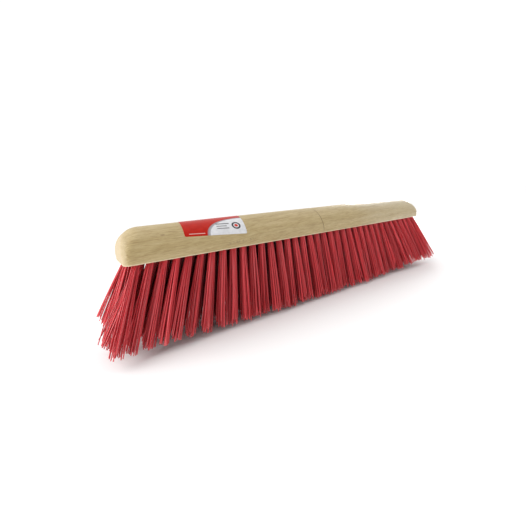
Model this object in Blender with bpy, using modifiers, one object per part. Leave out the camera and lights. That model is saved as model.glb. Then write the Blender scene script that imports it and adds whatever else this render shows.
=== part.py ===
"""Push broom head, 600 mm: a one-piece beech block with a tilted handle socket,
183 tufts of stiff red plastic bristle set in five staggered rows, and a thin
printed film label wrapped over the crown.

Frame: +X along the block, +Y to the back (the side the handle leans to), +Z up.
Origin: bottom centre of the whole head, where the longest bristle tips rest.
All dimensions are in metres.
"""
import math

import bmesh
import bpy
from mathutils import Matrix, Vector

# ---------------------------------------------------------------- dimensions
BLOCK_LENGTH = 0.600          # overall length of the beech block
BLOCK_WIDTH = 0.0695          # widest, at the foot of its sides
BLOCK_HEIGHT = 0.0410         # underside to crown
SIDE_HEIGHT = 0.0078          # straight lower part of the side
CROWN_EXPONENT = 1.74         # superellipse exponent of the rounded section
END_SETBACK = 0.0279          # how far the ends draw in towards the crown
END_EXPONENT = 2.3            # the ends are fuller than the sides
CORNER_RADIUS = 0.0095        # plan radius of the four corners at the foot
CORNER_GROWTH = 0.0140        # extra plan radius towards the crown
EDGE_CHAMFER = 0.0008         # broken lower edge
BRISTLE_HEIGHT = 0.1080       # bristle tips to the block's underside

SOCKET_RADIUS = 0.0120        # handle socket, 24 mm bore
SOCKET_TILT = math.radians(20.0)   # leans to the back from the vertical
SOCKET_X = 0.0083             # socket centre along the block
SOCKET_Y = 0.0115             # socket axis where it meets the crown's height
SOCKET_FLOOR = 0.0182         # floor centre above the underside

ROW_Y = (-0.0246, -0.0123, 0.0, 0.0123, 0.0246)
ROW_SHIFT = (0.0, 0.0, -0.0038, 0.0034, -0.0016)  # small offsets along the block
ROW_COUNT = (37, 36, 37, 36, 37)
PITCH = 0.01587               # tuft spacing along a row
HOLE_DEPTH = 0.0114           # tuft holes drilled into the underside
HOLE_RADIUS = 0.0047          # across the corners of the six-sided hole
TUFT_RADIUS = 0.0043          # across the corners of the tuft's root
TUFT_SIDES = 6
GAP = 0.0004                  # clearance between neighbouring solids
GROUPS_PER_ROW = 8            # tufts of a row bundled into this many pieces

FAN_X = 0.105                 # outward lean of the tips along the block
FAN_STEP = 0.0125             # extra outward lean of the outer thirds
FAN_FROM, FAN_TO = 0.135, 0.220   # where that extra lean sets in
FAN_X_END = (-0.0020, 0.0135, -0.0035, 0.0022, -0.0040)   # extra at the very ends, by row
FAN_Y = 0.71                  # outward lean of the tips across the block
FAN_Y_END = (0.30, 0.10, 0.0, 0.35, 0.80)   # extra cross lean at the ends, by row

LABEL_LENGTH = 0.0875         # along the block
LABEL_WRAP = 0.0730           # over the crown, front edge to back edge
LABEL_CENTRE_X = -0.1790
LABEL_SHIFT = -0.0020         # centre of the wrap, from the crown line
LABEL_TURN = math.radians(4.8)
LABEL_GAP = 0.00035
LABEL_THICK = 0.00030

COLLECTION = "push_broom_head"
HALF_SPAN = PITCH * (ROW_COUNT[0] - 1) / 2.0

# ---------------------------------------------------------------- scene setup
for old in list(bpy.data.objects):
    bpy.data.objects.remove(old, do_unlink=True)
parts = bpy.data.collections.new(COLLECTION)
cutters = bpy.data.collections.new("cutters")
bpy.context.scene.collection.children.link(parts)
bpy.context.scene.collection.children.link(cutters)

frame = bpy.data.objects.new("broom_frame", None)
frame.empty_display_size = 0.05
parts.objects.link(frame)


def material(name, colour, roughness, metallic=0.0):
    mat = bpy.data.materials.new(name)
    mat.use_nodes = True
    shader = mat.node_tree.nodes["Principled BSDF"]
    shader.inputs["Base Color"].default_value = (*colour, 1.0)
    shader.inputs["Roughness"].default_value = roughness
    shader.inputs["Metallic"].default_value = metallic
    mat.diffuse_color = (*colour, 1.0)
    return mat


BEECH = material("beech", (0.52, 0.40, 0.22), 0.42)
BRISTLE = material("red_bristle", (0.55, 0.03, 0.04), 0.38)
FILM = material("label_film", (0.62, 0.06, 0.03), 0.25)


def add_object(name, mesh, mat=None, cutter=False):
    obj = bpy.data.objects.new(name, mesh)
    if cutter:
        cutters.objects.link(obj)
        obj.hide_render = True
        obj.display_type = "WIRE"
    else:
        parts.objects.link(obj)
        obj.parent = frame
    if mat is not None:
        mesh.materials.append(mat)
    return obj


def boolean(obj, other, operation):
    mod = obj.modifiers.new(operation.lower() + "_" + other.name, "BOOLEAN")
    mod.operation = operation
    mod.solver = "EXACT"
    mod.object = other
    return mod


# ---------------------------------------------------------------- block form
def section(t):
    """Inset fraction and height of the block's section, t from 0 to 1."""
    angle = t * math.pi / 2.0
    power = 2.0 / CROWN_EXPONENT
    inset = 1.0 - math.cos(angle) ** power
    height = SIDE_HEIGHT + (BLOCK_HEIGHT - SIDE_HEIGHT) * math.sin(angle) ** power
    return inset, height


def end_inset(z):
    """How far the end has drawn in at height z above the underside."""
    q = min(1.0, max(0.0, (z - SIDE_HEIGHT) / (BLOCK_HEIGHT - SIDE_HEIGHT)))
    return END_SETBACK * (1.0 - (1.0 - q ** END_EXPONENT) ** (1.0 / END_EXPONENT))


def plan_outline(half_length, half_width, radius, steps):
    """Rounded rectangle, counter-clockwise from above."""
    points = []
    for sx, sy, start in ((1, 1, 0.0), (-1, 1, 90.0), (-1, -1, 180.0), (1, -1, 270.0)):
        cx = sx * (half_length - radius)
        cy = sy * (half_width - radius)
        for k in range(steps + 1):
            a = math.radians(start + 90.0 * k / steps)
            points.append((cx + radius * math.cos(a), cy + radius * math.sin(a)))
    return points


def block_mesh():
    half_l, half_w = BLOCK_LENGTH / 2.0, BLOCK_WIDTH / 2.0
    slices = [(half_l - EDGE_CHAMFER, half_w - EDGE_CHAMFER,
               CORNER_RADIUS - EDGE_CHAMFER, 0.0),
              (half_l, half_w, CORNER_RADIUS, EDGE_CHAMFER)]
    levels = 14
    for k in range(levels + 1):
        t = 0.97 * k / levels
        inset, z = section(t)
        w = half_w * (1.0 - inset)
        r = min(CORNER_RADIUS + CORNER_GROWTH * inset, 0.95 * w)
        slices.append((half_l - end_inset(z), w, r, z))
    bm = bmesh.new()
    rings = []
    for length, width, radius, z in slices:
        rings.append([bm.verts.new((x, y, z + BRISTLE_HEIGHT))
                      for x, y in plan_outline(length, width, radius, 4)])
    for low, high in zip(rings, rings[1:]):
        n = len(low)
        for i in range(n):
            j = (i + 1) % n
            bm.faces.new((low[i], low[j], high[j], high[i]))
    bm.faces.new(list(reversed(rings[0])))
    bm.faces.new(rings[-1])
    bmesh.ops.recalc_face_normals(bm, faces=bm.faces)
    mesh = bpy.data.meshes.new("beech_block")
    bm.to_mesh(mesh)
    bm.free()
    return mesh


# ---------------------------------------------------------------- tuft layout
def tuft_line(row, index):
    """Root point on the underside and tip centre of one tuft."""
    flat = (index - (ROW_COUNT[row] - 1) / 2.0) * PITCH
    x, y = flat + ROW_SHIFT[row], ROW_Y[row]
    u = abs(flat) / HALF_SPAN
    f = min(1.0, max(0.0, (abs(flat) - FAN_FROM) / (FAN_TO - FAN_FROM)))
    step = FAN_STEP * f * f * (3.0 - 2.0 * f) + FAN_X_END[row] * u ** 8
    lean_x = flat * FAN_X + math.copysign(step, flat)
    lean_y = y * (FAN_Y + FAN_Y_END[row] * u ** 8)
    # all tufts are equally long, so a leaning one ends higher
    drop = math.sqrt(BRISTLE_HEIGHT ** 2 - lean_x ** 2 - lean_y ** 2)
    tip_z = BRISTLE_HEIGHT - drop + 0.0003 * (index % 2)
    return Vector((x, y, BRISTLE_HEIGHT)), Vector((x + lean_x, y + lean_y, tip_z))


def on_axis(root, tip, z):
    s = (root.z - z) / (root.z - tip.z)
    return root.lerp(tip, s)


def prism(bm, rings):
    """Six-sided tapered prism through horizontal rings, listed top to bottom.

    Each ring is (centre, reach to -X, reach to +X, reach to each Y corner);
    the prism starts as a cylinder primitive cut once between its ends.
    """
    made = bmesh.ops.create_cone(bm, cap_ends=True, cap_tris=False, segments=TUFT_SIDES,
                                 radius1=1.0, radius2=1.0, depth=2.0)
    verts = made["verts"]
    if len(rings) == 3:
        bmesh.ops.bisect_plane(bm, geom=bm.verts[:] + bm.edges[:] + bm.faces[:],
                               plane_co=(0.0, 0.0, 0.0), plane_no=(0.0, 0.0, 1.0))
        verts = bm.verts[:]
    top_down = sorted({round(v.co.z, 4) for v in verts}, reverse=True)
    flat = math.cos(math.pi / TUFT_SIDES)
    for v in verts:
        centre, left, right, across = rings[top_down.index(round(v.co.z, 4))]
        ux, uy = v.co.x / flat, v.co.y
        if abs(ux) < 1e-6:
            dx = 0.5 * (right - left)
        else:
            dx = ux * (right if ux > 0 else left)
        v.co = (centre.x + dx, centre.y + uy * across, centre.z)
    return verts


def hole_cutters():
    bm = bmesh.new()
    reach = HOLE_RADIUS * math.cos(math.pi / TUFT_SIDES)
    for row, count in enumerate(ROW_COUNT):
        for index in range(count):
            root, tip = tuft_line(row, index)
            top = on_axis(root, tip, BRISTLE_HEIGHT + HOLE_DEPTH)
            low = on_axis(root, tip, BRISTLE_HEIGHT - 0.002)
            prism(bm, [(top, reach, reach, HOLE_RADIUS), (low, reach, reach, HOLE_RADIUS)])
    bmesh.ops.recalc_face_normals(bm, faces=bm.faces)
    mesh = bpy.data.meshes.new("tuft_holes")
    bm.to_mesh(mesh)
    bm.free()
    return mesh


def tuft_mesh(row, index, first, last):
    """One tuft; first and last say whether it borders the next bundle."""
    count = ROW_COUNT[row]
    root, tip = tuft_line(row, index)
    top = on_axis(root, tip, BRISTLE_HEIGHT + HOLE_DEPTH - GAP)
    mouth = on_axis(root, tip, BRISTLE_HEIGHT - 0.0006)
    reach = TUFT_RADIUS * math.cos(math.pi / TUFT_SIDES)

    def half(neighbour, border):
        if neighbour < 0 or neighbour >= count:
            return 0.0088
        other = tuft_line(row, neighbour)[1]
        span = abs(other.x - tip.x) / 2.0
        if border:
            return span - GAP / 2.0
        return span + 0.0008 + 0.0030 * (abs(root.x) / HALF_SPAN) ** 5

    left, right = half(index - 1, first), half(index + 1, last)
    across = 0.5 * abs(tuft_line(2, 18)[1].y - tuft_line(1, 18)[1].y) - GAP / 2.0
    bm = bmesh.new()
    prism(bm, [(top, reach, reach, TUFT_RADIUS), (mouth, reach, reach, TUFT_RADIUS),
               (tip, left, right, across)])
    bmesh.ops.recalc_face_normals(bm, faces=bm.faces)
    mesh = bpy.data.meshes.new("tuft_%d_%02d" % (row, index))
    bm.to_mesh(mesh)
    bm.free()
    return mesh


# ---------------------------------------------------------------- label form
def section_arc(samples=400):
    """Section from the crown line down the front, as (distance, y, z) points."""
    half_w = BLOCK_WIDTH / 2.0
    points = []
    distance = 0.0
    previous = None
    for k in range(samples + 1):
        inset, z = section(1.0 - k / samples)
        y = half_w * (1.0 - inset)
        if previous is not None:
            distance += math.hypot(y - previous[0], z - previous[1])
        points.append((distance, y, z))
        previous = (y, z)
    return points


ARC = section_arc()


def on_section(distance, offset):
    """Point at a distance from the crown line (negative is the front)."""
    side = -1.0 if distance < 0 else 1.0
    d = abs(distance)
    for (d0, y0, z0), (d1, y1, z1) in zip(ARC, ARC[1:]):
        if d <= d1:
            f = (d - d0) / (d1 - d0) if d1 > d0 else 0.0
            y, z = y0 + f * (y1 - y0), z0 + f * (z1 - z0)
            ny, nz = -(z1 - z0), (y1 - y0)
            blend = min(1.0, d / 0.004)
            ny *= blend
            length = math.hypot(ny, nz)
            return side * (y + offset * ny / length), z + offset * nz / length
    return None


def label_mesh():
    cols, rows = 6, 16
    bm = bmesh.new()
    grid = []
    for i in range(cols + 1):
        line = []
        for j in range(rows + 1):
            a = LABEL_LENGTH * (i / cols - 0.5)
            b = LABEL_WRAP * (j / rows - 0.5)
            x = LABEL_CENTRE_X + a * math.cos(LABEL_TURN) + b * math.sin(LABEL_TURN)
            d = LABEL_SHIFT - a * math.sin(LABEL_TURN) + b * math.cos(LABEL_TURN)
            y, z = on_section(d, LABEL_GAP)
            line.append(bm.verts.new((x, y, z + BRISTLE_HEIGHT)))
        grid.append(line)
    for i in range(cols):
        for j in range(rows):
            bm.faces.new((grid[i][j], grid[i + 1][j], grid[i + 1][j + 1], grid[i][j + 1]))
    mesh = bpy.data.meshes.new("label")
    bm.to_mesh(mesh)
    bm.free()
    return mesh


# ---------------------------------------------------------------- build
block = add_object("beech_block", block_mesh(), BEECH)

holes = add_object("tuft_holes", hole_cutters(), cutter=True)
boolean(block, holes, "DIFFERENCE")

bpy.ops.mesh.primitive_cylinder_add(vertices=32, radius=SOCKET_RADIUS, depth=0.060)
socket = bpy.context.active_object
socket.name = "handle_socket_bore"
for owner in list(socket.users_collection):
    owner.objects.unlink(socket)
cutters.objects.link(socket)
socket.hide_render = True
socket.display_type = "WIRE"
axis = Vector((0.0, math.sin(SOCKET_TILT), math.cos(SOCKET_TILT)))
crown_point = Vector((SOCKET_X, SOCKET_Y, BRISTLE_HEIGHT + BLOCK_HEIGHT))
drop = (BLOCK_HEIGHT - SOCKET_FLOOR) / math.cos(SOCKET_TILT)
floor_point = crown_point - axis * drop
socket.matrix_world = (Matrix.Translation(floor_point + axis * 0.030)
                       @ Matrix.Rotation(-SOCKET_TILT, 4, "X"))
boolean(block, socket, "DIFFERENCE")

ROW_NAMES = ("front_edge", "front_inner", "middle", "back_inner", "back_edge")
for row, count in enumerate(ROW_COUNT):
    edges = [round(count * g / GROUPS_PER_ROW) for g in range(GROUPS_PER_ROW + 1)]
    for g in range(GROUPS_PER_ROW):
        members = list(range(edges[g], edges[g + 1]))
        name = "tufts_%s_%d" % (ROW_NAMES[row], g + 1)
        made = []
        for index in members:
            mesh = tuft_mesh(row, index, index == members[0], index == members[-1])
            made.append(add_object("%s_t%02d" % (name, index), mesh, cutter=True))
        bundle = add_object(name, made[0].data.copy(), BRISTLE)
        for other in made[1:]:
            boolean(bundle, other, "UNION")
        bpy.context.view_layer.update()
        graph = bpy.context.evaluated_depsgraph_get()
        joined = bpy.data.meshes.new_from_object(bundle.evaluated_get(graph))
        bundle.modifiers.clear()
        bundle.data = joined
        joined.name = name
        joined.materials.clear()
        joined.materials.append(BRISTLE)
        for other in made:
            bpy.data.objects.remove(other, do_unlink=True)

label = add_object("wrap_label", label_mesh(), FILM)
solid = label.modifiers.new("film", "SOLIDIFY")
solid.thickness = LABEL_THICK
solid.offset = 1.0
bpy.context.view_layer.update()

label.data.shade_smooth()
block.data.set_sharp_from_angle(angle=math.radians(35.0))
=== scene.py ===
"""Looks for the push broom head: beech block, splayed red filaments, wrapped film label, on a pale studio floor."""
import math

import bmesh
import bpy
import numpy as np
from mathutils import Matrix, Vector


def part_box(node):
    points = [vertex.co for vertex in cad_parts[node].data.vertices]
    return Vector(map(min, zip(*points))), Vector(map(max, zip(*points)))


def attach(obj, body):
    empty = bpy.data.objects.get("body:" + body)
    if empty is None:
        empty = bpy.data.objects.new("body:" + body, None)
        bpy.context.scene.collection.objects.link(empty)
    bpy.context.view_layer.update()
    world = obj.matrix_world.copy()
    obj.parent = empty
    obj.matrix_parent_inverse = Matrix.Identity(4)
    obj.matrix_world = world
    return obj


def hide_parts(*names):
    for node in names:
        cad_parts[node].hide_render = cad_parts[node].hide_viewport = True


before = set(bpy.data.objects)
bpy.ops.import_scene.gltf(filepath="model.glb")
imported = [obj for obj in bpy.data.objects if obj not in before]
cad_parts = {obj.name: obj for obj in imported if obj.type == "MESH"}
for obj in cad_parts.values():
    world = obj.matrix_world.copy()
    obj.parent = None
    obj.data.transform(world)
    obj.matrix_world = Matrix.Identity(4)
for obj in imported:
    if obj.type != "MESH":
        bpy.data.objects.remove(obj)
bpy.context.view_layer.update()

# ------------------------------------------------------------------ dimensions (metres, as in the CAD)
lo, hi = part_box("beech_block")
UNDER = lo.z                           # underside of the block, above the tips
HALF_L = (hi.x - lo.x) / 2.0
HALF_W = (hi.y - lo.y) / 2.0
BLOCK_H = hi.z - lo.z + 0.00004
SIDE_H = 0.0078
POWER = 2.0 / 1.74
END_SETBACK = 0.0279
END_POWER = 2.3                        # the ends are fuller than the sides
FOOT_R = 0.0095                        # plan radius of the corners at the foot
SEAM_X = 0.0083
SOCKET_R = 0.0120
SOCKET_TILT = math.radians(20.0)
SOCKET_Y = 0.0115
SOCKET_FLOOR = 0.0182

ROW_Y = (-0.0246, -0.0123, 0.0, 0.0123, 0.0246)
ROW_COUNT = (37, 36, 37, 36, 37)
ROW_NAMES = ("front_edge", "front_inner", "middle", "back_inner", "back_edge")
PITCH = 0.01587
HALF_SPAN = PITCH * 18.0
ROW_SHIFT = (0.0, 0.0, -0.0038, 0.0034, -0.0016)
FAN_X, FAN_STEP, FAN_FROM, FAN_TO = 0.105, 0.0125, 0.135, 0.220
FAN_X_END = (-0.0020, 0.0135, -0.0035, 0.0022, -0.0040)
FAN_Y, FAN_Y_END = 0.71, (0.30, 0.10, 0.0, 0.35, 0.80)
GROUPS = 8
HOLE_R, HOLE_DEPTH = 0.0047, 0.0110

LABEL_L, LABEL_WRAP = 0.0875, 0.0730
LABEL_X, LABEL_SHIFT = -0.1790, -0.0020
LABEL_TURN = math.radians(4.8)


def section(t):
    """Inset fraction and height of the block's section, t from 0 at the side to 1 at the crown."""
    a = t * math.pi / 2.0
    return (1.0 - max(math.cos(a), 0.0) ** POWER,
            SIDE_H + (BLOCK_H - SIDE_H) * math.sin(a) ** POWER)


def end_inset(z):
    """How far the end has drawn in at height z above the underside."""
    q = min(1.0, max(0.0, (z - SIDE_H) / (BLOCK_H - SIDE_H)))
    return END_SETBACK * (1.0 - (1.0 - q ** END_POWER) ** (1.0 / END_POWER))


# ------------------------------------------------------------------ node helpers
class Nodes:
    """Small helper that builds a node tree."""

    def __init__(self, name):
        self.mat = bpy.data.materials.new(name)
        self.mat.use_nodes = True
        self.nt = self.mat.node_tree
        self.bsdf = self.nt.nodes["Principled BSDF"]

    def new(self, kind, **props):
        n = self.nt.nodes.new(kind)
        for k, v in props.items():
            setattr(n, k, v)
        return n

    def link(self, a, b):
        self.nt.links.new(a, b)

    def put(self, socket, value):
        if isinstance(value, bpy.types.NodeSocket):
            self.link(value, socket)
        else:
            socket.default_value = value

    def math(self, op, a, b=None, c=None, clamp=False):
        n = self.new("ShaderNodeMath", operation=op, use_clamp=clamp)
        for s, v in zip(n.inputs, (a, b, c)):
            if v is not None:
                self.put(s, v)
        return n.outputs[0]

    def noise(self, vector, scale=1.0, detail=2.0, rough=0.5, distortion=0.0):
        n = self.new("ShaderNodeTexNoise")
        self.link(vector, n.inputs["Vector"])
        n.inputs["Scale"].default_value = scale
        n.inputs["Detail"].default_value = detail
        n.inputs["Roughness"].default_value = rough
        n.inputs["Distortion"].default_value = distortion
        return n.outputs["Fac"]

    def stretch(self, vector, scale, offset=(0, 0, 0), rotation=(0, 0, 0)):
        n = self.new("ShaderNodeMapping")
        self.link(vector, n.inputs["Vector"])
        n.inputs["Scale"].default_value = scale
        n.inputs["Location"].default_value = offset
        n.inputs["Rotation"].default_value = rotation
        return n.outputs["Vector"]

    def ramp(self, fac, stops):
        n = self.new("ShaderNodeValToRGB")
        self.put(n.inputs["Fac"], fac)
        els = n.color_ramp.elements
        while len(els) < len(stops):
            els.new(0.5)
        for e, (p, c) in zip(els, stops):
            e.position = p
            e.color = (c, c, c, 1.0) if isinstance(c, (int, float)) else (*c, 1.0)
        return n.outputs["Color"]

    def mix(self, fac, a, b, blend="MIX"):
        n = self.new("ShaderNodeMix", data_type="RGBA", blend_type=blend)
        self.put(n.inputs[0], fac)
        for s, v in ((n.inputs[6], a), (n.inputs[7], b)):
            if isinstance(v, tuple) and len(v) == 3:
                v = (*v, 1.0)
            self.put(s, v)
        return n.outputs[2]

    def band(self, x, low, high, soft=0.002):
        """1 where x is between low and high, with soft edges."""
        up = self.new("ShaderNodeMapRange", interpolation_type="SMOOTHSTEP")
        self.put(up.inputs["Value"], x)
        up.inputs["From Min"].default_value = low - soft
        up.inputs["From Max"].default_value = low + soft
        dn = self.new("ShaderNodeMapRange", interpolation_type="SMOOTHSTEP")
        self.put(dn.inputs["Value"], x)
        dn.inputs["From Min"].default_value = high - soft
        dn.inputs["From Max"].default_value = high + soft
        return self.math("SUBTRACT", up.outputs[0], dn.outputs[0], clamp=True)

    def bump(self, height, strength, distance):
        n = self.new("ShaderNodeBump")
        self.link(height, n.inputs["Height"])
        n.inputs["Strength"].default_value = strength
        n.inputs["Distance"].default_value = distance
        self.link(n.outputs["Normal"], self.bsdf.inputs["Normal"])


# ------------------------------------------------------------------ materials
def beech_material():
    m = Nodes("beech_wood")
    tc = m.new("ShaderNodeTexCoord").outputs["Object"]
    geo = m.new("ShaderNodeNewGeometry")
    sep = m.new("ShaderNodeSeparateXYZ")
    m.link(tc, sep.inputs[0])
    nsep = m.new("ShaderNodeSeparateXYZ")
    m.link(geo.outputs["Normal"], nsep.inputs[0])
    # the grain runs along the block at a slight angle, and wanders
    wander = m.noise(m.stretch(tc, (5.0, 9.0, 9.0)), 1.0, 2.0)
    turned = m.stretch(tc, (1.0, 1.0, 1.0), rotation=(0.25, 0.035, 0.03))
    tsep = m.new("ShaderNodeSeparateXYZ")
    m.link(turned, tsep.inputs[0])
    comb = m.new("ShaderNodeCombineXYZ")
    m.link(tsep.outputs[0], comb.inputs[0])
    m.link(m.math("MULTIPLY_ADD", wander, 0.012, tsep.outputs[1]), comb.inputs[1])
    m.link(m.math("MULTIPLY_ADD", wander, 0.016, tsep.outputs[2]), comb.inputs[2])
    grain = comb.outputs[0]
    broad = m.noise(m.stretch(grain, (4.0, 30.0, 45.0)), 1.0, 3.0, 0.55)
    rings = m.noise(m.stretch(grain, (10.0, 150.0, 240.0), offset=(3, 1, 2)), 1.0, 4.0, 0.65)
    streak = m.noise(m.stretch(grain, (62.0, 520.0, 760.0), offset=(2, 8, 4)), 1.0, 4.0, 0.62, 0.5)
    fibre = m.noise(m.stretch(grain, (45.0, 900.0, 1100.0), offset=(1, 5, 2)), 1.0, 3.0, 0.65)
    fleck = m.noise(m.stretch(grain, (150.0, 900.0, 800.0), offset=(7, 3, 9)), 1.0, 1.0, 0.5)
    fleck = m.ramp(fleck, [(0.0, 0.0), (0.60, 0.0), (0.68, 1.0), (1.0, 1.0)])
    tone = m.math("MULTIPLY_ADD", rings, 0.34, m.math("MULTIPLY", broad, 0.20))
    tone = m.math("MULTIPLY_ADD", streak, 0.46, tone)
    base = m.ramp(tone, [(0.0, (0.240, 0.150, 0.056)), (0.37, (0.348, 0.248, 0.107)),
                         (0.46, (0.425, 0.320, 0.152)), (0.55, (0.487, 0.378, 0.194)),
                         (0.66, (0.540, 0.434, 0.242)), (1.0, (0.600, 0.498, 0.308))])
    base = m.mix(0.25, base, m.ramp(fibre, [(0.3, 0.10), (0.7, 0.95)]), "SOFT_LIGHT")
    base = m.mix(m.math("MULTIPLY", fleck, 0.30), base, (0.32, 0.19, 0.07), "MIX")
    # end grain: paler and dotted instead of streaked
    endness = m.ramp(m.math("ABSOLUTE", nsep.outputs[0]), [(0.45, 0.0), (0.9, 1.0)])
    dots = m.noise(m.stretch(tc, (1500.0, 1500.0, 1500.0)), 1.0, 2.0, 0.6)
    rays = m.noise(m.stretch(tc, (60.0, 60.0, 420.0)), 1.0, 2.0, 0.6)
    end = m.mix(0.5, m.ramp(dots, [(0.3, (0.44, 0.34, 0.20)), (0.7, (0.60, 0.49, 0.33))]),
                m.ramp(rays, [(0.3, (0.48, 0.37, 0.22)), (0.7, (0.60, 0.50, 0.34))]))
    base = m.mix(m.math("MULTIPLY", endness, 0.7), base, end)
    # one small dark knot fleck and a faint row of press marks on the front
    def spot(x, z, rx, rz):
        dx = m.math("DIVIDE", m.math("SUBTRACT", sep.outputs[0], x), rx)
        dz = m.math("DIVIDE", m.math("SUBTRACT", sep.outputs[2], z), rz)
        d = m.math("ADD", m.math("MULTIPLY", dx, dx), m.math("MULTIPLY", dz, dz))
        front = m.math("LESS_THAN", sep.outputs[1], 0.0)
        return m.math("MULTIPLY", front, m.math("SUBTRACT", 1.0, d, clamp=True))
    knot = spot(-0.2510, UNDER + 0.0292, 0.0036, 0.0011)
    base = m.mix(m.math("MULTIPLY", knot, 0.55), base, (0.16, 0.075, 0.03))
    front = m.math("LESS_THAN", sep.outputs[1], 0.0)
    row = m.math("SUBTRACT", sep.outputs[2],
                 m.math("MULTIPLY_ADD", sep.outputs[0], 0.033, UNDER + 0.0134))
    inrow = m.band(row, -0.0013, 0.0013, 0.0005)
    span = m.band(sep.outputs[0], -0.1686, -0.1262, 0.0010)
    dash = m.noise(m.stretch(tc, (330.0, 1.0, 120.0)), 1.0, 0.0)
    dash = m.ramp(dash, [(0.50, 0.0), (0.60, 1.0)])
    mark = m.math("MULTIPLY", m.math("MULTIPLY", front, inrow), m.math("MULTIPLY", span, dash))
    base = m.mix(m.math("MULTIPLY", mark, 0.30), base, (0.15, 0.11, 0.07))
    # painted highlight: the lower edge is painted paler where its rounding catches light
    foot = m.band(sep.outputs[2], UNDER - 0.01, UNDER + 0.0013, 0.0004)
    base = m.mix(m.math("MULTIPLY", foot, 0.70), base, (0.80, 0.66, 0.46))
    # painted shade: a dark line along the groove where the two cuts meet, standing in for the step's shadow, stronger
    # higher up
    line = m.math("ABSOLUTE", m.math("SUBTRACT", sep.outputs[0], SEAM_X))
    line = m.math("SUBTRACT", 1.0, m.band(line, 0.00060, 1.0, 0.00030))
    fade = m.band(sep.outputs[2], UNDER + 0.006, UNDER + 1.0, 0.006)
    base = m.mix(m.math("MULTIPLY", line, m.math("MULTIPLY_ADD", fade, 0.65, 0.25)), base, (0.13, 0.075, 0.03))
    m.link(base, m.bsdf.inputs["Base Color"])
    rough = m.math("MULTIPLY_ADD", fibre, 0.22, 0.34)
    rough = m.math("MULTIPLY_ADD", endness, 0.12, rough)
    m.link(rough, m.bsdf.inputs["Roughness"])
    m.bsdf.inputs["Specular IOR Level"].default_value = 0.35
    # the crown of the right half is burnished by hands
    burnish = m.band(sep.outputs[0], 0.120, 2.0, 0.040)
    m.link(m.math("MULTIPLY_ADD", m.math("MULTIPLY", burnish, streak), 1.70, 0.06), m.bsdf.inputs["Coat Weight"])
    m.bsdf.inputs["Coat Roughness"].default_value = 0.20
    height = m.math("MULTIPLY_ADD", fleck, -0.6, fibre)
    m.bump(height, 0.25, 0.00012)
    return m.mat


def bristle_material():
    m = Nodes("red_monofilament")
    tc = m.new("ShaderNodeTexCoord").outputs["Object"]
    tone = m.new("ShaderNodeAttribute", attribute_name="tone").outputs["Fac"]
    along = m.new("ShaderNodeAttribute", attribute_name="along").outputs["Fac"]
    streak = m.noise(m.stretch(tc, (2600.0, 2600.0, 60.0)), 1.0, 2.0, 0.6)
    fac = m.math("MULTIPLY_ADD", tone, 0.7, m.math("MULTIPLY", streak, 0.3))
    colour = m.ramp(fac, [(0.0, (0.30, 0.005, 0.009)), (0.30, (0.50, 0.013, 0.021)),
                          (0.70, (0.70, 0.030, 0.042)), (1.0, (0.84, 0.075, 0.092))])
    # painted shade: tufts deep in the head are darkened towards the wood, standing in for the shade that falls between
    # the rows
    inner = m.new("ShaderNodeAttribute", attribute_name="inner").outputs["Fac"]
    painted_shade = m.math("MULTIPLY", inner, m.ramp(along, [(0.0, 1.0), (0.35, 0.85), (0.75, 0.45), (1.0, 0.15)]))
    colour = m.mix(m.math("MULTIPLY", painted_shade, 0.92), colour, (0.085, 0.004, 0.006))
    tip = m.ramp(along, [(0.0, 0.0), (0.93, 0.0), (1.0, 1.0)])
    colour = m.mix(m.math("MULTIPLY", tip, 0.25), colour, (0.80, 0.16, 0.17))
    m.link(colour, m.bsdf.inputs["Base Color"])
    m.link(m.math("MULTIPLY_ADD", streak, 0.20, 0.24), m.bsdf.inputs["Roughness"])
    m.bsdf.inputs["Specular IOR Level"].default_value = 0.70
    m.bump(m.noise(m.stretch(tc, (3000.0, 3000.0, 160.0)), 1.0, 2.0, 0.6), 0.25, 0.00006)
    return m.mat


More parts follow.
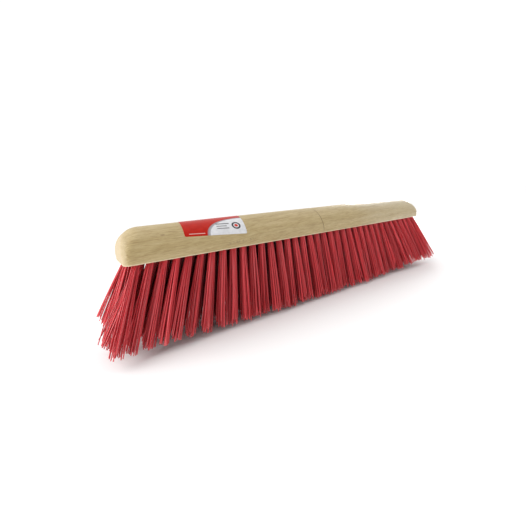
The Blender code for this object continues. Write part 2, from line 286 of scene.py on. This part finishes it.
def label_material():
    m = Nodes("printed_film")
    uv = m.new("ShaderNodeUVMap", uv_map="wrap").outputs[0]
    sep = m.new("ShaderNodeSeparateXYZ")
    m.link(uv, sep.inputs[0])
    u, v = sep.outputs[0], sep.outputs[1]          # u: 0 left to 1 right, v: 0 front edge to 1 back edge
    tc = m.new("ShaderNodeTexCoord").outputs["Object"]
    mottle = m.noise(m.stretch(tc, (160.0, 160.0, 160.0)), 1.0, 2.0, 0.5)
    red = m.ramp(mottle, [(0.3, (0.430, 0.010, 0.003)), (0.7, (0.500, 0.014, 0.005))])
    pale = m.ramp(mottle, [(0.3, (0.66, 0.66, 0.68)), (0.7, (0.76, 0.76, 0.78))])
    # pale panel: everything right of a quarter-ellipse sweep, mirrored about the middle of the wrap
    vm = m.math("PINGPONG", v, 0.5)                # 0 at either long edge, 0.5 on the crown
    du = m.math("DIVIDE", m.math("SUBTRACT", 1.02, u), 0.68)
    dv = m.math("DIVIDE", vm, 0.43)
    r = m.math("SQRT", m.math("ADD", m.math("MULTIPLY", du, du), m.math("MULTIPLY", dv, dv)))
    inside = m.band(r, -1.0, 0.97, 0.008)
    rim = m.band(r, 0.93, 0.995, 0.010)
    colour = m.mix(inside, red, pale)
    colour = m.mix(m.math("MULTIPLY", rim, 0.85), colour, (0.30, 0.29, 0.31))
    # generic marks: plain rules and a plain disc, no lettering
    def rule(u0, u1, v0, v1):
        return m.math("MULTIPLY", m.band(u, u0, u1, 0.004), m.band(vm, v0, v1, 0.004))
    for u0, u1, v0, v1 in ((0.52, 0.74, 0.235, 0.262), (0.52, 0.69, 0.180, 0.200), (0.52, 0.72, 0.125, 0.145)):
        colour = m.mix(m.math("MULTIPLY", rule(u0, u1, v0, v1), 0.8), colour, (0.06, 0.06, 0.065))
    cu = m.math("DIVIDE", m.math("SUBTRACT", u, 0.85), 0.075)
    cv = m.math("DIVIDE", m.math("SUBTRACT", vm, 0.19), 0.086)
    disc = m.math("SQRT", m.math("ADD", m.math("MULTIPLY", cu, cu), m.math("MULTIPLY", cv, cv)))
    colour = m.mix(m.band(disc, 0.62, 1.0, 0.05), colour, (0.055, 0.055, 0.06))
    colour = m.mix(m.band(disc, -1.0, 0.40, 0.05), colour, (0.62, 0.05, 0.03))
    colour = m.mix(m.math("MULTIPLY", rule(0.07, 0.31, 0.040, 0.056), 0.6), colour, (0.80, 0.66, 0.62))
    m.link(colour, m.bsdf.inputs["Base Color"])
    m.link(m.math("MULTIPLY_ADD", mottle, 0.12, 0.24), m.bsdf.inputs["Roughness"])
    m.bsdf.inputs["Specular IOR Level"].default_value = 0.14
    m.bsdf.inputs["Coat Weight"].default_value = 0.03
    m.bsdf.inputs["Coat Roughness"].default_value = 0.12
    m.bump(m.noise(m.stretch(tc, (420.0, 420.0, 420.0)), 1.0, 2.0, 0.5), 0.12, 0.0001)
    return m.mat


# ------------------------------------------------------------------ block
def block_mesh():
    stations = list(np.arange(-0.250, 0.2501, 0.010))
    stations += list(np.arange(-0.016, 0.0301, 0.002))
    stations += [SEAM_X + d for d in (-0.0016, -0.0008, -0.0004, -0.00012, 0.00012, 0.0004, 0.0008, 0.0016)]
    stations = sorted(set(round(float(x), 6) for x in stations))
    keep = [stations[0]]
    for x in stations[1:]:
        near_seam = abs(x - SEAM_X) <= 0.00165
        if x - keep[-1] > (0.0001 if near_seam else 0.0007):
            keep.append(x)
    stations = keep
    steps, levels = 18, 60
    slices = []
    for k in range(5):                                   # softened lower edge
        a = math.pi / 2 * k / 4
        d = 0.0010
        slices.append((d * (1 - math.sin(a)), d * (1 - math.cos(a)), 0.0))
    zs0 = [s[1] for s in slices]
    rings = []

    def ring(length, width, radius, z, shift):
        pts = []
        xs = [x for x in stations]
        for sx, sy, start in ((1, 1, 0.0), (-1, 1, 90.0), (-1, -1, 180.0), (1, -1, 270.0)):
            cx, cy = sx * (length - radius), sy * (width - radius)
            for i in range(steps + 1):
                a = math.radians(start + 90.0 * i / steps)
                pts.append((cx + radius * math.cos(a), cy + radius * math.sin(a), z))
            if sx == 1 and sy == 1:
                pts += [(x, width - shift(x), z - 0.0) for x in reversed(xs)]
            if sx == -1 and sy == -1:
                pts += [(x, -(width - shift(x)), z) for x in xs]
        return pts

    def step_depth(x, share):
        """How far the surface is cut back near the shaper's line: the right side sits lower and rises back along it."""
        d = x - SEAM_X
        low = 0.00030 * share * math.exp(-max(d, 0.0) / 0.060) if d > 0 else 0.0
        groove = 0.00050 * share * math.exp(-(d / 0.00042) ** 2)
        lip = -0.00010 * share * math.exp(-((d + 0.0009) / 0.0006) ** 2)
        return low + groove + lip

    for inset, z, _ in slices:
        rings.append(ring(HALF_L - inset, HALF_W - inset, FOOT_R - inset, z, lambda x: 0.0))
    for k in range(levels + 1):
        f = k / levels
        t = 0.985 * f
        ins, z = section(t)
        if z <= zs0[-1] + 0.0004:
            continue
        w = HALF_W * (1.0 - ins)
        r = min(FOOT_R + 0.0160 * ins, 0.97 * w)
        share = min(1.0, max(0.0, (z - 0.004) / 0.016))
        share = 0.30 + 0.70 * share * share * (3 - 2 * share)
        # outward direction of the section, to cut the step square to the surface
        i2, z2 = section(min(1.0, t + 0.004))
        ty, tz = -HALF_W * (i2 - ins), z2 - z
        ln = math.hypot(ty, tz) or 1.0
        ny, nz = tz / ln, -ty / ln
        pts = ring(HALF_L - end_inset(z), w, r, z, lambda x: 0.0)
        out = []
        for (x, y, zz) in pts:
            if abs(x) <= 0.2501:
                s = step_depth(x, share)
                y = math.copysign(max(abs(y) - s * ny, 0.0), y)
                zz = zz - s * nz
            out.append((x, y, zz))
        rings.append(out)
    bm = bmesh.new()
    vr = [[bm.verts.new((x, y, z + UNDER)) for x, y, z in r] for r in rings]
    n = len(vr[0])
    for a, b in zip(vr, vr[1:]):
        for i in range(n):
            j = (i + 1) % n
            bm.faces.new((a[i], a[j], b[j], b[i]))
    bm.faces.new(list(reversed(vr[0])))
    # crown strip: pair the two long sides across the middle
    top = vr[-1]
    bm.faces.new(top)
    bmesh.ops.recalc_face_normals(bm, faces=bm.faces)
    me = bpy.data.meshes.new("block")
    bm.to_mesh(me)
    bm.free()
    return me


def tuft_line(row, index):
    flat = (index - (ROW_COUNT[row] - 1) / 2.0) * PITCH
    x = flat + ROW_SHIFT[row]
    y = ROW_Y[row]
    u = abs(flat) / HALF_SPAN
    f = min(1.0, max(0.0, (abs(flat) - FAN_FROM) / (FAN_TO - FAN_FROM)))
    lean_x = flat * FAN_X + math.copysign(FAN_STEP * f * f * (3.0 - 2.0 * f) + FAN_X_END[row] * u ** 8, flat)
    lean_y = y * (FAN_Y + FAN_Y_END[row] * u ** 8)
    drop = math.sqrt(UNDER ** 2 - lean_x ** 2 - lean_y ** 2)
    return Vector((x, y, UNDER)), Vector((x + lean_x, y + lean_y, UNDER - drop))


def cylinder(bm, base, top, radius, sides):
    axis = (top - base).normalized()
    made = bmesh.ops.create_cone(bm, cap_ends=True, segments=sides, radius1=radius, radius2=radius,
                                 depth=(top - base).length)
    m = Matrix.Translation((base + top) / 2) @ Vector((0, 0, 1)).rotation_difference(axis).to_matrix().to_4x4()
    bmesh.ops.transform(bm, matrix=m, verts=made["verts"])


def helper(name, bm):
    me = bpy.data.meshes.new(name)
    bm.to_mesh(me)
    bm.free()
    o = bpy.data.objects.new(name, me)
    bpy.context.scene.collection.objects.link(o)
    return o


def build_block(mat):
    o = bpy.data.objects.new("block_wood", block_mesh())
    bpy.context.scene.collection.objects.link(o)
    bm = bmesh.new()
    for row, count in enumerate(ROW_COUNT):
        for i in range(count):
            root, tip = tuft_line(row, i)
            d = (root - tip).normalized()
            cylinder(bm, root - d * 0.003, root + d * HOLE_DEPTH, HOLE_R, 14)
    holes = helper("hole_tool", bm)
    bm = bmesh.new()
    axis = Vector((0, math.sin(SOCKET_TILT), math.cos(SOCKET_TILT)))
    crown = Vector((SEAM_X, SOCKET_Y, UNDER + 0.041))
    floor = crown - axis * ((0.041 - SOCKET_FLOOR) / math.cos(SOCKET_TILT))
    cylinder(bm, floor, floor + axis * 0.06, SOCKET_R, 72)
    bore = helper("bore_tool", bm)
    for tool in (holes, bore):
        mod = o.modifiers.new(tool.name, "BOOLEAN")
        mod.operation, mod.solver, mod.object = "DIFFERENCE", "EXACT", tool
    bpy.context.view_layer.update()
    me = bpy.data.meshes.new_from_object(o.evaluated_get(bpy.context.evaluated_depsgraph_get()))
    o.modifiers.clear()
    o.data = me
    for tool in (holes, bore):
        bpy.data.objects.remove(tool, do_unlink=True)
    me.materials.clear()
    me.materials.append(mat)
    me.shade_smooth()
    me.set_sharp_from_angle(angle=math.radians(38.0))
    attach(o, "root")
    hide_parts("beech_block")
    return o


# ------------------------------------------------------------------ filaments
def hex_offsets(spacing, radius):
    pts = []
    n = int(radius / spacing) + 2
    for j in range(-n, n + 1):
        for i in range(-n, n + 1):
            x = (i + 0.5 * (j % 2)) * spacing
            y = j * spacing * math.sqrt(3) / 2
            if math.hypot(x - 0.25 * spacing, y) <= radius:
                pts.append((x - 0.25 * spacing, y))
    return np.array(pts)


FIL_D = 0.00122
RINGS = np.array([-1.0, 0.0, 0.04, 0.11, 0.24, 0.42, 0.62, 0.82, 1.0])
SIDES = 6
rng = np.random.default_rng(20240817)


def tuft_paths(row, index):
    """Centre lines of one tuft's filaments, as (count, rings, 3)."""
    root, tip = tuft_line(row, index)
    root, tip = np.array(root), np.array(tip)
    base = hex_offsets(FIL_D * 1.03, 0.0044 - FIL_D * 0.5) * 1.07
    turn = rng.uniform(0, math.pi)
    c, s = math.cos(turn), math.sin(turn)
    base = base @ np.array([[c, -s], [s, c]])
    n = len(base)
    spread = rng.uniform(1.48, 1.86)
    near_end = min(index, ROW_COUNT[row] - 1 - index) < 3
    lean = np.array([rng.normal(0, 0.0013 if row == 0 or near_end else 0.0024), rng.normal(0, 0.0020), 0.0])
    tips = base * np.array([spread, spread * rng.uniform(1.05, 1.35)])
    tips = tips + rng.normal(0, 0.0008, (n, 2))
    wild = rng.random(n) < 0.035
    tips[wild] += rng.normal(0, 0.0030, (wild.sum(), 2))
    axis = tip - root
    length = np.linalg.norm(axis)
    inward = -axis / length
    # every filament is nearly the same length, so a leaning one ends a little higher
    cut = rng.normal(0.0006, 0.0009) + np.abs(rng.normal(0, 0.0028, n)) + (rng.random(n) < 0.32) * rng.uniform(0.001, 0.010, n)
    ends = np.zeros((n, 3))
    ends[:, :2] = tip[:2] + lean[:2] + tips
    flat = ends[:, :2] - root[:2] - base
    ends[:, 2] = UNDER - np.sqrt(np.maximum((UNDER - 0.0004 - np.maximum(cut, 0.0)) ** 2 - (flat ** 2).sum(1), 0.0001))
    ends[:, 2] = np.maximum(ends[:, 2], FIL_D * 0.25)
    paths = np.zeros((n, len(RINGS), 3))
    off = np.zeros((n, 3))
    off[:, :2] = base
    bow = rng.normal(0, 0.0006, (n, 3)) + rng.normal(0, 0.0006, 3)
    bow[:, 2] = 0
    flare = np.zeros((n, 3))                      # the bundle opens up as soon as it leaves its hole
    flare[:, :2] = tips - base
    for k, s in enumerate(RINGS):
        if s < 0:
            paths[:, k] = root + inward * (HOLE_DEPTH - 0.0015) + off
        else:
            paths[:, k] = root + off + (ends - root - off) * s + flare * (s ** 0.65 - s) + bow * math.sin(math.pi * s) * s
    return paths


def painted_shade_depth(row, index):
    """How much painted shade a tuft gets: 0 for a tuft on the outside of the head, 1 for one deep inside it."""
    across = (0.0, 0.65, 1.0, 0.65, 0.0)[row]
    last = ROW_COUNT[row] - 1
    return across * min(1.0, min(index, last - index) / 3.0)


def tube_mesh(name, paths, inner):
    f, k, _ = paths.shape
    tangent = np.gradient(paths, axis=1)
    tangent /= np.linalg.norm(tangent, axis=2, keepdims=True)
    ref = np.array([1.0, 0.0, 0.0])
    e1 = ref - (tangent @ ref)[..., None] * tangent
    e1 /= np.linalg.norm(e1, axis=2, keepdims=True)
    e2 = np.cross(tangent, e1)
    start = rng.uniform(0, 2 * math.pi, f)
    rad = FIL_D / 2 * rng.uniform(0.93, 1.05, f)
    ang = start[:, None] + np.arange(SIDES)[None] * 2 * math.pi / SIDES
    ca, sa = np.cos(ang), np.sin(ang)                       # f, sides
    ring = (paths[:, :, None, :]
            + rad[:, None, None, None] * (ca[:, None, :, None] * e1[:, :, None, :]
                                          + sa[:, None, :, None] * e2[:, :, None, :]))
    verts = ring.reshape(-1, 3)
    idx = np.arange(f * k * SIDES).reshape(f, k, SIDES)
    a, b = idx[:, :-1, :], idx[:, 1:, :]
    quads = np.stack([a, b, np.roll(b, -1, 2), np.roll(a, -1, 2)], -1).reshape(-1, 4)
    caps = np.concatenate([idx[:, 0, :], idx[:, -1, ::-1]], 0)
    me = bpy.data.meshes.new(name)
    me.from_pydata(verts.tolist(), [], quads.tolist() + caps.tolist())
    me.update()
    tone = np.repeat(rng.random(f), k * SIDES).astype(np.float32)
    along = np.tile(np.repeat(np.clip(RINGS, 0, 1), SIDES), f).astype(np.float32)
    # inner carries how much painted shade each filament gets
    inner = np.repeat(inner, k * SIDES).astype(np.float32)
    for nm, val in (("tone", tone), ("along", along), ("inner", inner)):
        at = me.attributes.new(nm, "FLOAT", "POINT")
        at.data.foreach_set("value", val)
    me.shade_smooth()
    me.set_sharp_from_angle(angle=math.radians(65.0))
    bm = bmesh.new()
    bm.from_mesh(me)
    if bm.calc_volume(signed=True) < 0:
        bmesh.ops.reverse_faces(bm, faces=bm.faces)
        bm.to_mesh(me)
    bm.free()
    return me


def build_bristles(mat):
    for row, count in enumerate(ROW_COUNT):
        edges = [round(count * g / GROUPS) for g in range(GROUPS + 1)]
        for g in range(GROUPS):
            tufts = [tuft_paths(row, i) for i in range(edges[g], edges[g + 1])]
            inner = np.repeat([painted_shade_depth(row, i) for i in range(edges[g], edges[g + 1])], [len(t) for t in tufts])
            paths = np.concatenate(tufts, 0)
            name = "bristles_%s_%d" % (ROW_NAMES[row], g + 1)
            me = tube_mesh(name, paths, inner)
            me.materials.append(mat)
            o = bpy.data.objects.new(name, me)
            bpy.context.scene.collection.objects.link(o)
            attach(o, "root")
            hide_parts("tufts_%s_%d" % (ROW_NAMES[row], g + 1))


# ------------------------------------------------------------------ label
def section_arc(samples=600):
    pts, distance, prev = [], 0.0, None
    for k in range(samples + 1):
        ins, z = section(1.0 - k / samples)
        y = HALF_W * (1.0 - ins)
        if prev is not None:
            distance += math.hypot(y - prev[0], z - prev[1])
        pts.append((distance, y, z))
        prev = (y, z)
    return np.array(pts)


ARC = section_arc()


def on_section(distance, offset):
    d = abs(distance)
    y, z = np.interp(d, ARC[:, 0], ARC[:, 1]), np.interp(d, ARC[:, 0], ARC[:, 2])
    y2, z2 = np.interp(d + 3e-4, ARC[:, 0], ARC[:, 1]), np.interp(d + 3e-4, ARC[:, 0], ARC[:, 2])
    y1, z1 = np.interp(max(d - 3e-4, 0), ARC[:, 0], ARC[:, 1]), np.interp(max(d - 3e-4, 0), ARC[:, 0], ARC[:, 2])
    ny, nz = -(z2 - z1), (y2 - y1)
    ny *= min(1.0, d / 0.004)
    ln = math.hypot(ny, nz)
    side = -1.0 if distance < 0 else 1.0
    return side * (y + offset * ny / ln), z + offset * nz / ln


def build_label(mat):
    cols, rows = 56, 90
    radius = 0.0022                                            # rounded label corners
    bm = bmesh.new()
    uvs = {}
    layers = []
    for offset in (0.00020, 0.00005):
        grid = []
        for i in range(cols + 1):
            line = []
            for j in range(rows + 1):
                a = LABEL_L * (i / cols - 0.5)
                b = LABEL_WRAP * (j / rows - 0.5)
                ax, bx = abs(a) - (LABEL_L / 2 - radius), abs(b) - (LABEL_WRAP / 2 - radius)
                if ax > 0 and bx > 0:
                    q = max(ax, bx) / math.hypot(ax, bx)
                    a = math.copysign(LABEL_L / 2 - radius + ax * q, a)
                    b = math.copysign(LABEL_WRAP / 2 - radius + bx * q, b)
                x = LABEL_X + a * math.cos(LABEL_TURN) + b * math.sin(LABEL_TURN)
                d = LABEL_SHIFT - a * math.sin(LABEL_TURN) + b * math.cos(LABEL_TURN)
                y, z = on_section(d, offset)
                v = bm.verts.new((x, y, z + UNDER))
                uvs[v] = (a / LABEL_L + 0.5, b / LABEL_WRAP + 0.5)
                line.append(v)
            grid.append(line)
        layers.append(grid)
    up, dn = layers
    for i in range(cols):
        for j in range(rows):
            bm.faces.new((up[i][j], up[i + 1][j], up[i + 1][j + 1], up[i][j + 1]))
            bm.faces.new((dn[i][j], dn[i][j + 1], dn[i + 1][j + 1], dn[i + 1][j]))
    rim = ([(i, 0) for i in range(cols)] + [(cols, j) for j in range(rows)]
           + [(i, rows) for i in range(cols, 0, -1)] + [(0, j) for j in range(rows, 0, -1)])
    for (i0, j0), (i1, j1) in zip(rim, rim[1:] + rim[:1]):
        bm.faces.new((up[i1][j1], up[i0][j0], dn[i0][j0], dn[i1][j1]))
    layer = bm.loops.layers.uv.new("wrap")
    for f in bm.faces:
        for l in f.loops:
            l[layer].uv = uvs[l.vert]
    bmesh.ops.recalc_face_normals(bm, faces=bm.faces)
    me = bpy.data.meshes.new("label")
    bm.to_mesh(me)
    bm.free()
    me.materials.append(mat)
    me.shade_smooth()
    me.set_sharp_from_angle(angle=math.radians(50.0))
    o = bpy.data.objects.new("film_label", me)
    bpy.context.scene.collection.objects.link(o)
    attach(o, "root")
    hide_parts("wrap_label")


# ------------------------------------------------------------------ studio
WORLD_LOW, WORLD_HIGH, WORLD_FAR = 0.62, 0.22, 1.06


def build_stage():
    m = Nodes("studio_floor")
    tc = m.new("ShaderNodeTexCoord").outputs["Object"]
    m.link(m.ramp(m.noise(tc, 3.0, 2.0), [(0.0, (0.94, 0.94, 0.94)), (1.0, (0.97, 0.97, 0.97))]),
           m.bsdf.inputs["Base Color"])
    m.bsdf.inputs["Roughness"].default_value = 0.9
    m.bsdf.inputs["Specular IOR Level"].default_value = 0.1
    bpy.ops.mesh.primitive_plane_add(size=30.0, location=(0, 0, -0.0002))
    floor = bpy.context.active_object
    floor.name = "studio_floor"
    floor.data.materials.append(m.mat)
    world = bpy.data.worlds.new("studio")
    bpy.context.scene.world = world
    world.use_nodes = True
    # white sweep behind the object; on the near side a pale wall under the darker room
    nt = world.node_tree
    back = nt.nodes["Background"]
    coord = nt.nodes.new("ShaderNodeTexCoord")
    split = nt.nodes.new("ShaderNodeSeparateXYZ")
    nt.links.new(coord.outputs["Generated"], split.inputs[0])

    def smooth(source, values):
        n = nt.nodes.new("ShaderNodeMapRange")
        n.interpolation_type = "SMOOTHSTEP"
        for name, value in zip(("From Min", "From Max", "To Min", "To Max"), values):
            n.inputs[name].default_value = value
        nt.links.new(source, n.inputs["Value"])
        return n

    near = smooth(split.outputs[2], (0.15, 0.60, WORLD_LOW, WORLD_HIGH))
    ramp = smooth(split.outputs[1], (-0.75, 0.10, 0.0, WORLD_FAR))
    nt.links.new(near.outputs[0], ramp.inputs["To Min"])
    back.inputs[0].default_value = (1.0, 1.0, 1.0, 1.0)
    nt.links.new(ramp.outputs[0], back.inputs[1])

    def area(name, loc, target, size, power, colour=(1, 1, 1)):
        d = bpy.data.lights.new(name, "AREA")
        d.shape, d.size, d.energy, d.color = "DISK", size, power, colour
        o = bpy.data.objects.new(name, d)
        o.location = loc
        o.rotation_euler = (Vector(target) - Vector(loc)).to_track_quat("-Z", "Y").to_euler()
        bpy.context.scene.collection.objects.link(o)

    sun = bpy.data.lights.new("soft_sun", "SUN")
    sun.energy, sun.angle = 1.2, math.radians(40.0)
    o = bpy.data.objects.new("soft_sun", sun)
    o.rotation_euler = Vector((0.75, -0.35, -0.80)).to_track_quat("-Z", "Y").to_euler()
    bpy.context.scene.collection.objects.link(o)
    area("back_right", (1.5, 0.70, 0.55), (0.28, 0, 0.14), 0.7, 8)
    area("left_front", (-1.5, -0.32, 0.50), (-0.32, 0, 0.05), 0.5, 8)
    area("right_fill", (1.5, -1.5, 0.8), (0.25, 0, 0.08), 1.0, 4)


def build_camera():
    pos = Vector((-0.3390, -0.3769, 0.0643 + UNDER))
    view = Vector((0.5297, 0.8185, -0.2227)).normalized()
    right = Vector((0.8283, -0.5556, -0.0719))
    right = (right - view * right.dot(view)).normalized()
    up = right.cross(view)
    cam = bpy.data.cameras.new("camera")
    cam.sensor_width = 36.0
    cam.lens = 36.0 * 285.92 / 526.0
    cam.clip_start, cam.clip_end = 0.01, 100.0
    o = bpy.data.objects.new("camera", cam)
    m = Matrix((right, up, -view)).transposed().to_4x4()
    m.translation = pos
    o.matrix_world = m
    bpy.context.scene.collection.objects.link(o)
    bpy.context.scene.camera = o


build_camera()
build_stage()
build_block(beech_material())
build_bristles(bristle_material())
build_label(label_material())
bpy.context.scene.view_settings.view_transform = "Standard"
bpy.context.scene.view_settings.look = "None"
